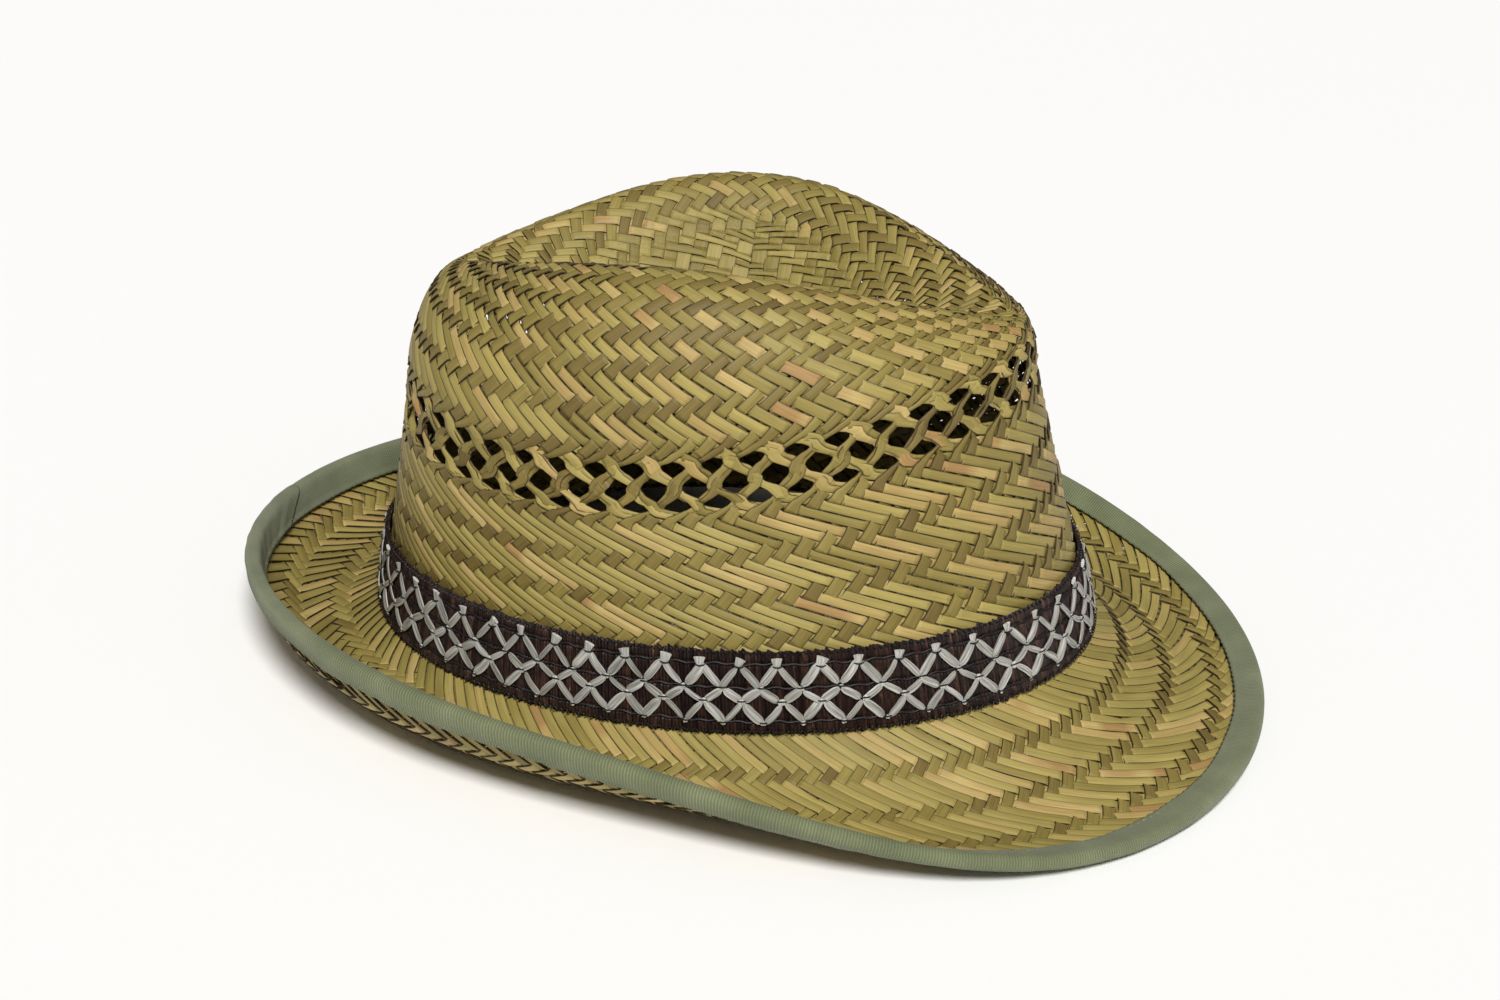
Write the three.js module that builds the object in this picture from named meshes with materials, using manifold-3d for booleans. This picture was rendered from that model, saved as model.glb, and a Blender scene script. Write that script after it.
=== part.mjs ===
// Straw fedora: a dented crown with an openwork row, a curled brim, a hat band and an edge binding.
// Millimetres, +Z up, the hat's front at -Y, standing as it rests on a flat surface.
import * as THREE from 'three';
import { mergeVertices } from 'three/addons/utils/BufferGeometryUtils.js';
import Module from 'manifold-3d';

const wasm = await Module();
wasm.setup();

const columns = 44; // facets round the head, one for each gap of an openwork row
const gap = 0.3; // air left between pieces that touch
const strawThickness = 1.8;
const half = strawThickness / 2;

// Outer face of the crown, from its foot up to the shoulder, and the ridge round the dent
const foot = { halfWidth: 83.1, halfLength: 100, back: 0 };
const shoulder = { halfWidth: 71.8, halfLength: 86.6, back: 5.2 };
const ridge = { halfWidth: 43.8, halfLength: 77, back: 0.7, pinch: 2.1 };
const dent = { floor: 80, back: 3, reach: 0.8 };

// Shape at eight places round the head, in degrees from the front towards the wearer's right: heights
// above the foot of the crown and the brim's width in mm, the brim's slopes in degrees, positive upwards
const stations = [
  { around: 0, shoulder: 74.7, ridge: 90, openwork: 80.3, width: 53.7, slopeIn: -43.7, slopeOut: 8.9 },
  { around: 45, shoulder: 72.5, ridge: 98.7, openwork: 73.3, width: 58.3, slopeIn: -39.4, slopeOut: 21.8 },
  { around: 90, shoulder: 67.2, ridge: 110.8, openwork: 61.9, width: 53.7, slopeIn: -29.6, slopeOut: 77.6 },
  { around: 135, shoulder: 61.9, ridge: 102, openwork: 59.2, width: 57.4, slopeIn: -13.3, slopeOut: 87.5 },
  { around: 180, shoulder: 59.7, ridge: 93.9, openwork: 60.9, width: 42.8, slopeIn: -10.4, slopeOut: 87.9 },
  { around: 225, shoulder: 61.9, ridge: 102, openwork: 59.2, width: 48.5, slopeIn: -25.5, slopeOut: 66 },
  { around: 270, shoulder: 67.2, ridge: 110.8, openwork: 61.9, width: 53.7, slopeIn: -31, slopeOut: 76 },
  { around: 315, shoulder: 72.5, ridge: 98.7, openwork: 73.3, width: 56.6, slopeIn: -37.5, slopeOut: 36.5 },
];
const brimCurl = 1.31; // how late the slope turns from its start to its edge value
const brimSteps = 30; // steps that add up the brim's curve

// Rows of facets along each piece
const wallRows = 2;
const shoulderRows = 5;
const dentRows = 5;
const brimRows = [0, 0.12, 0.3, 0.5, 0.75, 1]; // shares of the way to the binding
const crownFoot = half + gap;

// Two staggered rows of gaps; turn is a share of the pitch, rise runs up the wall
const gapRows = [
  { rise: 0, turn: 0.5, width: 8, height: 8, sides: 6 },
  { rise: 6.8, turn: 0, width: 5.2, height: 4.6, sides: 4 },
];
const cutterLength = 12;

const band = { bottom: 1.3, top: 22.6, thickness: 1.5, bevel: 0.4 };
const tape = { top: 9, under: 6.5, fold: 4, thickness: 0.8, inset: 1.2, round: 1.1, air: 0.45 };

// How the hat tips when it stands on its front edge and the underside of its back
const restPitch = -5.1;
const restRoll = -0.6;

const colours = { straw: 0xb3a26a, brimStraw: 0xad9c64, band: 0x3d2a25, tape: 0x7c8a6a };

const radians = THREE.MathUtils.degToRad;

function material(colour, roughness) {
  return new THREE.MeshStandardMaterial({ color: colour, roughness, metalness: 0 });
}

// Smooth curve through one column of the table, at any angle round the head
function atStation(column, around) {
  const count = stations.length;
  let value = 0;
  for (const row of stations) {
    const turn = around - radians(row.around);
    const far = Math.abs(Math.sin(turn / 2)) > 1e-6;
    const share = far ? Math.sin((count * turn) / 2) / (count * Math.tan(turn / 2)) : 1;
    value += row[column] * share;
  }
  return value;
}

function ovalRadius(oval, around) {
  return 1 / Math.hypot(Math.sin(around) / oval.halfWidth, Math.cos(around) / oval.halfLength);
}

// Point of an upright oval; the front is -Y and the wearer's right -X
function ovalPoint(oval, around, height) {
  const radius = ovalRadius(oval, around);
  return new THREE.Vector3(-Math.sin(around) * radius, -Math.cos(around) * radius + oval.back, height);
}

// The ridge is a lens in plan, pointed at the front and the back
function ridgePoint(around) {
  const side = Math.sin(around);
  const x = -ridge.halfWidth * Math.sign(side) * Math.abs(side) ** ridge.pinch;
  const y = -ridge.halfLength * Math.cos(around) + ridge.back;
  return new THREE.Vector3(x, y, atStation('ridge', around));
}

// Outer face of the crown: rise 0 to 1 is the wall, 1 to 2 the shoulder, 2 to 3 the dent down to its middle
function crownPoint(around, rise) {
  const shoulderHeight = atStation('shoulder', around);
  if (rise <= 1) {
    const low = ovalPoint(foot, around, 0);
    return low.lerp(ovalPoint(shoulder, around, shoulderHeight), rise);
  }
  const top = ridgePoint(around);
  if (rise <= 2) {
    const bend = ((rise - 1) * Math.PI) / 2;
    const point = ovalPoint(shoulder, around, shoulderHeight);
    const height = THREE.MathUtils.lerp(point.z, top.z, Math.sin(bend));
    return point.lerp(top, 1 - Math.cos(bend)).setZ(height);
  }
  const inwards = rise - 2;
  const height = THREE.MathUtils.lerp(top.z, dent.floor, THREE.MathUtils.smoothstep(inwards, 0, dent.reach));
  return top.lerp(new THREE.Vector3(0, dent.back, 0), inwards).setZ(height);
}

// Middle of the brim's thickness, a distance along it outwards from the crown's outer face
function brimPoint(around, distance) {
  const start = ovalPoint(foot, around, 0);
  const outwards = new THREE.Vector3(start.x / foot.halfWidth ** 2, start.y / foot.halfLength ** 2, 0);
  outwards.normalize();
  if (distance <= 0) {
    return start.addScaledVector(outwards, distance);
  }
  const width = atStation('width', around);
  const slopeIn = radians(atStation('slopeIn', around));
  const slopeOut = radians(atStation('slopeOut', around));
  const step = distance / brimSteps;
  for (let i = 0; i < brimSteps; i += 1) {
    const share = ((i + 0.5) * step) / width;
    const slope = THREE.MathUtils.lerp(slopeIn, slopeOut, share ** brimCurl);
    start.addScaledVector(outwards, Math.cos(slope) * step);
    start.z += Math.sin(slope) * step;
  }
  return start;
}

// Direction square to a surface, out of the hat: the crown's run goes up it, the brim's runs outwards
function normalAt(surface, around, run) {
  const small = 0.02;
  const along = surface(around, run + small).sub(surface(around, run - small));
  const across = surface(around + small, run).sub(surface(around - small, run));
  const normal = across.cross(along).normalize();
  return surface === crownPoint ? normal.negate() : normal;
}

function offsetPoint(surface, around, run, lift) {
  return surface(around, run).addScaledVector(normalAt(surface, around, run), lift);
}

function ring(pointAt) {
  return Array.from({ length: columns }, (_, i) => pointAt((i / columns) * Math.PI * 2));
}

// Solid from rings of points, each joined to the next; poles close both ends, or else the last ring
// joins the first
function solidFromRings(rings, poles) {
  const positions = rings.flat().flatMap((point) => point.toArray());
  const faces = [];
  const joins = poles ? rings.length - 1 : rings.length;
  for (let row = 0; row < joins; row += 1) {
    const here = row * columns;
    const next = ((row + 1) % rings.length) * columns;
    for (let i = 0; i < columns; i += 1) {
      const j = (i + 1) % columns;
      faces.push(here + i, next + j, next + i, here + i, here + j, next + j);
    }
  }
  if (poles) {
    const first = rings.length * columns;
    const last = (rings.length - 1) * columns;
    positions.push(...poles[0].toArray(), ...poles[1].toArray());
    for (let i = 0; i < columns; i += 1) {
      const j = (i + 1) % columns;
      faces.push(first, j, i);
      faces.push(first + 1, last + i, last + j);
    }
  }
  const geometry = new THREE.BufferGeometry();
  geometry.setAttribute('position', new THREE.Float32BufferAttribute(positions, 3));
  geometry.setIndex(faces);
  return geometry;
}

function toManifold(geometry) {
  geometry.deleteAttribute('normal');
  geometry.deleteAttribute('uv');
  const merged = mergeVertices(geometry, 1e-4);
  const vertProperties = new Float32Array(merged.attributes.position.array);
  const triVerts = new Uint32Array(merged.index.array);
  return new wasm.Manifold(new wasm.Mesh({ numProp: 3, vertProperties, triVerts }));
}

function toGeometry(solid) {
  const mesh = solid.getMesh();
  const geometry = new THREE.BufferGeometry();
  geometry.setAttribute('position', new THREE.Float32BufferAttribute(mesh.vertProperties, 3));
  geometry.setIndex(Array.from(mesh.triVerts));
  return geometry;
}

// Run up the crown at which its outer face reaches a height
function riseAtHeight(around, height) {
  const shoulderHeight = atStation('shoulder', around);
  if (height < shoulderHeight) {
    return height / shoulderHeight;
  }
  const share = (height - shoulderHeight) / (atStation('ridge', around) - shoulderHeight);
  return 1 + (Math.asin(share) * 2) / Math.PI;
}

function riseAfter(around, rise, distance) {
  const step = 0.01;
  let travelled = 0;
  let reached = rise;
  while (travelled < distance) {
    travelled += crownPoint(around, reached).distanceTo(crownPoint(around, reached + step));
    reached += step;
  }
  return reached;
}

// Cutter square to the crown, with a corner at its top
function gapCutter(row, around) {
  const rise = riseAfter(around, riseAtHeight(around, atStation('openwork', around)), row.rise);
  const geometry = new THREE.CylinderGeometry(0.5, 0.5, cutterLength, row.sides);
  geometry.rotateX(Math.PI / 2);
  geometry.rotateZ(Math.PI / 2);
  geometry.scale(row.width, row.height, 1);
  const outwards = normalAt(crownPoint, around, rise);
  const upwards = crownPoint(around, rise + 0.05).sub(crownPoint(around, rise - 0.05)).normalize();
  const sideways = upwards.clone().cross(outwards);
  const placement = new THREE.Matrix4().makeBasis(sideways, upwards, outwards);
  placement.setPosition(crownPoint(around, rise));
  return geometry.applyMatrix4(placement);
}

function crownGeometry() {
  const rises = [crownFoot / stations[0].shoulder];
  for (let i = 1; i <= wallRows; i += 1) rises.push(i / wallRows);
  for (let i = 1; i <= shoulderRows; i += 1) rises.push(1 + i / shoulderRows);
  for (let i = 1; i < dentRows; i += 1) rises.push(2 + i / dentRows);
  const outer = rises.map((rise) => ring((around) => crownPoint(around, rise)));
  const inner = rises.map((rise) => ring((around) => offsetPoint(crownPoint, around, rise, -strawThickness)));
  for (const point of [...outer[0], ...inner[0]]) point.setZ(crownFoot);
  const poles = [dent.floor, dent.floor - strawThickness].map((z) => new THREE.Vector3(0, dent.back, z));
  const shell = toManifold(solidFromRings([...outer.reverse(), ...inner], poles));
  const cutters = [];
  for (const row of gapRows) {
    for (let i = 0; i < columns; i += 1) {
      cutters.push(toManifold(gapCutter(row, ((i + row.turn) / columns) * Math.PI * 2)));
    }
  }
  return toGeometry(shell.subtract(wasm.Manifold.union(cutters)));
}

function brimGeometry() {
  const toTape = (around) => atStation('width', around) - tape.top;
  const toEdge = (around, back) => atStation('width', around) - back;
  const runs = [() => -strawThickness];
  for (const share of brimRows) runs.push((around) => share * toTape(around));
  runs.push((around) => toEdge(around, tape.fold));
  runs.push((around) => toEdge(around, tape.inset + gap));
  const rowAt = (run, lift) => ring((around) => offsetPoint(brimPoint, around, run(around), lift));
  const face = (lift) => runs.map((run) => rowAt(run, lift));
  return solidFromRings([...face(half), ...face(-half).reverse()]);
}

// Loop of points that stands off the crown's wall
function bandGeometry() {
  const outside = gap + band.thickness;
  const section = [
    { height: band.top, lift: gap },
    { height: band.top, lift: outside - band.bevel },
    { height: band.top - band.bevel, lift: outside },
    { height: band.bottom + band.bevel, lift: outside },
    { height: band.bottom, lift: outside - band.bevel },
    { height: band.bottom, lift: gap },
  ];
  const corner = ({ height, lift }) => ring((around) => {
    const rise = height / atStation('shoulder', around);
    return offsetPoint(crownPoint, around, rise, lift).setZ(height);
  });
  return solidFromRings(section.map(corner));
}

// Tape folded over the brim's edge: back is the distance in from the edge, lift the distance off the middle
function tapeGeometry() {
  const inside = half + tape.air;
  const outside = inside + tape.thickness;
  const side = (width) => [
    { back: tape.inset, lift: inside },
    { back: tape.fold, lift: inside },
    { back: width, lift: inside },
    { back: width, lift: outside },
    { back: tape.fold, lift: outside },
    { back: tape.round, lift: outside },
    { back: 0, lift: outside - tape.round },
  ];
  const under = side(tape.under).map(({ back, lift }) => ({ back, lift: -lift })).reverse();
  const section = [...side(tape.top), ...under];
  const corner = ({ back, lift }) => ring((around) => {
    return offsetPoint(brimPoint, around, atStation('width', around) - back, lift);
  });
  return solidFromRings(section.map(corner));
}

function piece(name, geometry, look) {
  const mesh = new THREE.Mesh(geometry, look);
  mesh.name = name;
  return mesh;
}

const hat = new THREE.Group();
hat.add(
  piece('crown', crownGeometry(), material(colours.straw, 0.75)),
  piece('brim', brimGeometry(), material(colours.brimStraw, 0.75)),
  piece('hat_band', bandGeometry(), material(colours.band, 0.85)),
  piece('brim_binding', tapeGeometry(), material(colours.tape, 0.9)),
);
hat.rotation.set(radians(restPitch), radians(restRoll), 0);

// Lowest point on the ground, the whole hat centred over the origin
const bounds = new THREE.Box3().setFromObject(hat, true);
const middle = bounds.getCenter(new THREE.Vector3());
hat.position.set(-middle.x, -middle.y, -bounds.min.z);

const part = new THREE.Group();
part.add(hat);

export default part;
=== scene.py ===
import math

import bmesh
import bpy
import numpy as np
from mathutils import Matrix, Vector


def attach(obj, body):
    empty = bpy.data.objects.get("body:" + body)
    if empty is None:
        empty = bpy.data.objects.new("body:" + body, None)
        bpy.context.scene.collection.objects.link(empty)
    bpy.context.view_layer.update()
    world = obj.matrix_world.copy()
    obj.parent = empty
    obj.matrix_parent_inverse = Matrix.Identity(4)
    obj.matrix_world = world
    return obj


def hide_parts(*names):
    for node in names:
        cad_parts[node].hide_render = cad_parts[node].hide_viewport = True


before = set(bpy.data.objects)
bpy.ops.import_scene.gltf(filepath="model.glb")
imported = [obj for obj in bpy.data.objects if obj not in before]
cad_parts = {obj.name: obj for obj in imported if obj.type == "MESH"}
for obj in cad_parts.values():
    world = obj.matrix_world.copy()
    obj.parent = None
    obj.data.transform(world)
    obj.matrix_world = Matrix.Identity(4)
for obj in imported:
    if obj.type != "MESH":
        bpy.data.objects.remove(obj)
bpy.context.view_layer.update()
scene = bpy.context.scene
dice = np.random.default_rng(11)
mm = 0.001

# The hat's shape, in mm and degrees as in the part's source: it is measured in the head's own frame,
# front at -Y, and the whole hat then tips a little to stand on its front edge and the back of its brim
hat = {
    "foot": {"halfWidth": 83.1, "halfLength": 100, "back": 0},
    "shoulder": {"halfWidth": 71.8, "halfLength": 86.6, "back": 5.2},
    "ridge": {"halfWidth": 43.8, "halfLength": 77, "back": 0.7, "pinch": 2.1},
    "dent": {"floor": 80, "back": 3, "reach": 0.8},
    "brimCurl": 1.31,
    "thickness": 1.8,
    "pitch": -5.1,
    "roll": -0.6,
    "origin": (0.06, 7.45, 11.45),
}

# Heights, brim widths and brim slopes at eight places round the head, from the front to the wearer's right
stations = {
    "around": [0, 45, 90, 135, 180, 225, 270, 315],
    "shoulder": [74.7, 72.5, 67.2, 61.9, 59.7, 61.9, 67.2, 72.5],
    "ridge": [90, 98.7, 110.8, 102, 93.9, 102, 110.8, 98.7],
    "openwork": [80.3, 73.3, 61.9, 59.2, 60.9, 59.2, 61.9, 73.3],
    "width": [53.7, 58.3, 53.7, 57.4, 42.8, 48.5, 53.7, 56.6],
    "slopeIn": [-43.7, -39.4, -29.6, -13.3, -10.4, -25.5, -31, -37.5],
    "slopeOut": [8.9, 21.8, 77.6, 87.5, 87.9, 66, 76, 36.5],
}

turn = 2 * math.pi
pitched = Matrix.Rotation(math.radians(hat["pitch"]), 3, "X")
hatTip = pitched @ Matrix.Rotation(math.radians(hat["roll"]), 3, "Y")
hatTipRows = np.array(hatTip)


def toRow(points):
    return (points @ hatTipRows.T + np.array(hat["origin"])) * mm


def atStation(name, around):
    away = np.asarray(around)[..., None] - np.radians(stations["around"])
    near = np.abs(np.sin(away / 2)) < 1e-6
    safe = np.where(near, 1.0, away)
    share = np.where(near, 1.0, np.sin(4 * safe) / (8 * np.tan(safe / 2)))
    return share @ np.array(stations[name], float)


def ovalPoint(oval, around, height):
    radius = 1 / np.hypot(np.sin(around) / oval["halfWidth"], np.cos(around) / oval["halfLength"])
    x, y = -np.sin(around) * radius, -np.cos(around) * radius + oval["back"]
    return np.stack([x, y, height + 0 * radius], -1)


def ridgePoint(around):
    side = np.sin(around)
    x = -hat["ridge"]["halfWidth"] * np.sign(side) * np.abs(side) ** hat["ridge"]["pinch"]
    y = -hat["ridge"]["halfLength"] * np.cos(around) + hat["ridge"]["back"]
    return np.stack([x, y, atStation("ridge", around)], -1)


def smoothStep(share):
    share = np.clip(share, 0, 1)
    return share * share * (3 - 2 * share)


# Outer face of the crown: rise 0 to 1 is the wall, 1 to 2 the shoulder, 2 to 3 the dent down to its middle
def crownPoint(around, rise):
    around, rise = np.broadcast_arrays(np.asarray(around, float), np.asarray(rise, float))
    low = ovalPoint(hat["foot"], around, 0 * around)
    high = ovalPoint(hat["shoulder"], around, atStation("shoulder", around))
    top = ridgePoint(around)
    wall = low + (high - low) * np.clip(rise, 0, 1)[..., None]
    bend = np.clip(rise - 1, 0, 1) * math.pi / 2
    bent = high + (top - high) * (1 - np.cos(bend))[..., None]
    bent[..., 2] = high[..., 2] + (top[..., 2] - high[..., 2]) * np.sin(bend)
    inwards = np.clip(rise - 2, 0, 1)
    middle = np.array([0, hat["dent"]["back"], 0])
    dented = top + (middle - top) * inwards[..., None]
    drop = smoothStep(inwards / hat["dent"]["reach"])
    dented[..., 2] = top[..., 2] + (hat["dent"]["floor"] - top[..., 2]) * drop
    return np.where((rise <= 1)[..., None], wall, np.where((rise <= 2)[..., None], bent, dented))


# A table of places and outward directions over a surface, read at any angle and level by interpolation
class Surface:
    def __init__(self, points, step):
        self.points, self.step = points, step
        across = np.roll(points[:-1], -1, 0) - np.roll(points[:-1], 1, 0)
        across = np.concatenate([across, across[:1]])
        along = np.gradient(points, axis=1)
        normals = np.cross(across, along)
        normals /= np.maximum(np.linalg.norm(normals, axis=-1, keepdims=True), 1e-9)
        self.normals = normals

    def look(self, table, around, level):
        count, rows = table.shape[0] - 1, table.shape[1]
        a = (np.asarray(around, float) / turn % 1) * count
        b = np.clip(np.asarray(level, float) / self.step, 0, rows - 1.001)
        i, j = a.astype(int) % count, b.astype(int)
        p, q = (a - a.astype(int))[..., None], (b - j)[..., None]
        near = table[i, j] * (1 - q) + table[i, j + 1] * q
        far = table[i + 1, j] * (1 - q) + table[i + 1, j + 1] * q
        return near * (1 - p) + far * p

    def place(self, around, level):
        return self.look(self.points, around, level)

    def normal(self, around, level):
        found = self.look(self.normals, around, level)
        return found / np.linalg.norm(found, axis=-1, keepdims=True)


angles = np.radians(np.arange(361.0))

# Camera, from the photograph's viewing angle: degrees and mm in the head's frame
view = {
    "around": -78.43,
    "up": 22.94,
    "roll": 0.68,
    "distance": 798.62,
    "right": 3.56,
    "raise": -23.05,
    "aim": 55,
    "lens": 69.88,
}


def setCamera():
    a, e, r = (math.radians(view[name]) for name in ("around", "up", "roll"))
    back = Vector((math.sin(a) * math.cos(e), -math.cos(a) * math.cos(e), math.sin(e)))
    right = Vector((math.cos(a), math.sin(a), 0))
    up = back.cross(right)
    side = right * math.cos(r) + up * math.sin(r)
    top = up * math.cos(r) - right * math.sin(r)
    place = Vector((0, 0, view["aim"])) + back * view["distance"] + side * view["right"] + top * view["raise"]
    place = (hatTip @ place + Vector(hat["origin"])) * mm
    facing = hatTip @ Matrix((side, top, back)).transposed()
    data = bpy.data.cameras.new("photoCamera")
    data.lens, data.sensor_width, data.clip_start = view["lens"], 36, 0.05
    camera = bpy.data.objects.new("photoCamera", data)
    camera.matrix_world = Matrix.Translation(place) @ facing.to_4x4()
    scene.collection.objects.link(camera)
    scene.camera = camera


setCamera()
print("camera set")


def linearColour(code):
    parts = [int(code[i:i + 2], 16) / 255 for i in (1, 3, 5)]
    return [c / 12.92 if c <= 0.04045 else ((c + 0.055) / 1.055) ** 2.4 for c in parts] + [1]


def addNode(tree, kind, values=None, links=None, **settings):
    node = tree.nodes.new(kind)
    for name, value in settings.items():
        setattr(node, name, value)
    for name, value in (values or {}).items():
        node.inputs[name].default_value = value
    for name, socket in (links or {}).items():
        tree.links.new(socket, node.inputs[name])
    return node


def readLayer(tree, name):
    return addNode(tree, "ShaderNodeAttribute", attribute_name=name).outputs["Fac"]


def newMaterial(name, roughness, ior=1.5):
    material = bpy.data.materials.new(name)
    material.use_nodes = True
    tree = material.node_tree
    shader = tree.nodes["Principled BSDF"]
    shader.inputs["Roughness"].default_value = roughness
    shader.inputs["IOR"].default_value = ior
    return material, tree, shader


def fillRamp(ramp, stops):
    ramp.color_ramp.elements.remove(ramp.color_ramp.elements[0])
    ramp.color_ramp.elements[0].position = stops[0][0]
    ramp.color_ramp.elements[0].color = linearColour(stops[0][1])
    for place, code in stops[1:]:
        ramp.color_ramp.elements.new(place).color = linearColour(code)


strawLook = {
    # sRGB, from the browner strands to the palest, and the share of the strands up to which each runs
    "stops": [(0.0, "#5c481e"), (0.14, "#72602d"), (0.34, "#867639"), (0.56, "#978747"), (0.76, "#a69552"),
              (0.88, "#ab9156"), (0.96, "#b7a062"), (1.0, "#a07e4b")],
    # near-black colours for the strips' side walls: painted shade of the gaps between them
    "rim": ["#2c2110", "#4b3a1a"],
    "fibre": 0.35,  # mm between the fibres that show; the finer ones are left out
    "crown": 0.00022,  # m that the middle of a strand stands over its edges
}


# Dried sedge, split flat and plaited: soft satin strips with fine fibres along them, and darker edges that are
# painted shade, the shadow in the narrow gaps between neighbouring strips
def strawMaterial(name):
    material, tree, shader = newMaterial(name, 0.62, 1.45)
    across = readLayer(tree, "across")
    run = readLayer(tree, "run")
    tone = readLayer(tree, "tone")
    # across runs from -1 to 1 over a strip about 2.6 mm wide
    perSide = 1.3 / strawLook["fibre"]
    sideways = addNode(tree, "ShaderNodeMath", {1: perSide}, {0: across}, operation="MULTIPLY")
    lengthways = addNode(tree, "ShaderNodeMath", {1: 0.09}, {0: run}, operation="MULTIPLY")
    apart = addNode(tree, "ShaderNodeMath", {1: 61.0}, {0: tone}, operation="MULTIPLY")
    place = addNode(tree, "ShaderNodeCombineXYZ", None,
                    {"X": sideways.outputs[0], "Y": lengthways.outputs[0], "Z": apart.outputs[0]})
    fibres = addNode(tree, "ShaderNodeTexNoise", {"Scale": 1.0, "Detail": 2.0, "Roughness": 0.6},
                     {"Vector": place.outputs[0]})
    far = addNode(tree, "ShaderNodeMath", {1: 0.045}, {0: run}, operation="MULTIPLY")
    farPlace = addNode(tree, "ShaderNodeCombineXYZ", None, {"X": far.outputs[0], "Y": apart.outputs[0]})
    patches = addNode(tree, "ShaderNodeTexNoise", {"Scale": 1.0, "Detail": 1.0},
                      {"Vector": farPlace.outputs[0]})
    mixed = addNode(tree, "ShaderNodeMath", {1: 0.4, 2: -0.2}, {0: patches.outputs[0]},
                    operation="MULTIPLY_ADD")
    toned = addNode(tree, "ShaderNodeMath", None, {0: mixed.outputs[0], 1: tone},
                    operation="ADD", use_clamp=True)
    ramp = addNode(tree, "ShaderNodeValToRGB", None, {"Fac": toned.outputs[0]})
    fillRamp(ramp, strawLook["stops"])
    streak = addNode(tree, "ShaderNodeMapRange",
                     {"From Min": 0.3, "From Max": 0.7, "To Min": 0.8, "To Max": 1.1},
                     {"Value": fibres.outputs[0]})
    square = addNode(tree, "ShaderNodeMath", None, {0: across, 1: across}, operation="MULTIPLY")
    # painted shade: the colour darkens towards both edges of a strip, standing in for the shadow in the gaps
    # between strips
    edge = addNode(tree, "ShaderNodeMapRange",
                   {"From Min": 0.7, "From Max": 1.0, "To Min": 1.0, "To Max": 0.12},
                   {"Value": square.outputs[0]})
    both = addNode(tree, "ShaderNodeMath", None, {0: streak.outputs[0], 1: edge.outputs[0]},
                   operation="MULTIPLY")
    colour = addNode(tree, "ShaderNodeVectorMath", None, {0: ramp.outputs[0], "Scale": both.outputs[0]},
                     operation="SCALE")
    tree.links.new(colour.outputs[0], shader.inputs["Base Color"])
    swell = addNode(tree, "ShaderNodeMath", {0: 1.0}, {1: square.outputs[0]}, operation="SUBTRACT")
    rounded = addNode(tree, "ShaderNodeBump", {"Strength": 1.0, "Distance": strawLook["crown"]},
                      {"Height": swell.outputs[0]})
    bump = addNode(tree, "ShaderNodeBump", {"Strength": 0.5, "Distance": 0.00008},
                   {"Height": fibres.outputs[0], "Normal": rounded.outputs[0]})
    tree.links.new(bump.outputs[0], shader.inputs["Normal"])
    return material


# The side walls of the strips, coloured near black as painted shade, the shadow in the thin gaps between strips:
# they part the strips with a thin dark line
def strawGapShadeMaterial():
    material, tree, shader = newMaterial("sedgeEdgePaintedShade", 0.8)
    run = readLayer(tree, "run")
    tone = readLayer(tree, "tone")
    place = addNode(tree, "ShaderNodeCombineXYZ", None, {"X": run, "Y": tone})
    blotches = addNode(tree, "ShaderNodeTexNoise", {"Scale": 0.5, "Detail": 2.0},
                       {"Vector": place.outputs[0]})
    ramp = addNode(tree, "ShaderNodeValToRGB", None, {"Fac": blotches.outputs[0]})
    fillRamp(ramp, [(0.3, strawLook["rim"][0]), (0.7, strawLook["rim"][1])])
    tree.links.new(ramp.outputs[0], shader.inputs["Base Color"])
    return material


def addPiece(name, bm, material, replaced=None, thickness=None, offset=0.0, rim=None):
    mesh = bpy.data.meshes.new(name)
    bm.to_mesh(mesh)
    bm.free()
    mesh.materials.append(material)
    piece = bpy.data.objects.new(name, mesh)
    scene.collection.objects.link(piece)
    if thickness:
        wall = piece.modifiers.new("thickness", "SOLIDIFY")
        wall.thickness, wall.offset = thickness, offset
        # the side walls take the second material, which for the straw is a painted gap shade
        if rim:
            mesh.materials.append(rim)
            wall.material_offset_rim = 1
    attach(piece, "root")
    if replaced:
        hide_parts(replaced)
    return piece


def strandMesh():
    bm = bmesh.new()
    return bm, [bm.verts.layers.float.new(name) for name in ("run", "across", "tone")]


# One strip laid along a path: a grid one cell wide whose points then go to both edges of the strip
def addStrip(bm, layers, centres, sides, widths, tone):
    count = len(centres)
    tones = np.broadcast_to(tone, count)
    verts = bmesh.ops.create_grid(bm, x_segments=count - 1, y_segments=1, size=1)["verts"]
    steps = np.linalg.norm(np.diff(centres, axis=0), axis=1)
    runs = np.concatenate([[0], np.cumsum(steps)])
    rim = sides * (widths / 2)[:, None]
    places = np.concatenate([toRow(centres - rim), toRow(centres + rim)])
    run, across, toneLayer = layers
    for k, vert in enumerate(verts):
        vert.co = places[k]
        vert[run] = runs[k % count]
        vert[across] = -1.0 if k < count else 1.0
        vert[toneLayer] = tones[k % count]


def unit(vectors):
    return vectors / np.maximum(np.linalg.norm(vectors, axis=-1, keepdims=True), 1e-9)


def slowNoise(count, every, size):
    knots = dice.normal(0, size, count // every + 3)
    return np.interp(np.arange(count) / every, np.arange(len(knots)), knots)


# Places between crossings: where a strand changes side it gets three, so that the change is short
def betweenCrossings(over, lift):
    places, lifts = [], []
    for k in range(len(over) - 1):
        here, after = (lift if over[k] else -lift), (lift if over[k + 1] else -lift)
        if here == after:
            places += [k, k + 0.5]
            lifts += [here, here]
        else:
            places += [k, k + 0.3, k + 0.5, k + 0.7]
            lifts += [here, here * 0.95, 0, after * 0.95]
    return np.array(places + [len(over) - 1]), np.array(lifts + [lift if over[-1] else -lift])


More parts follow.
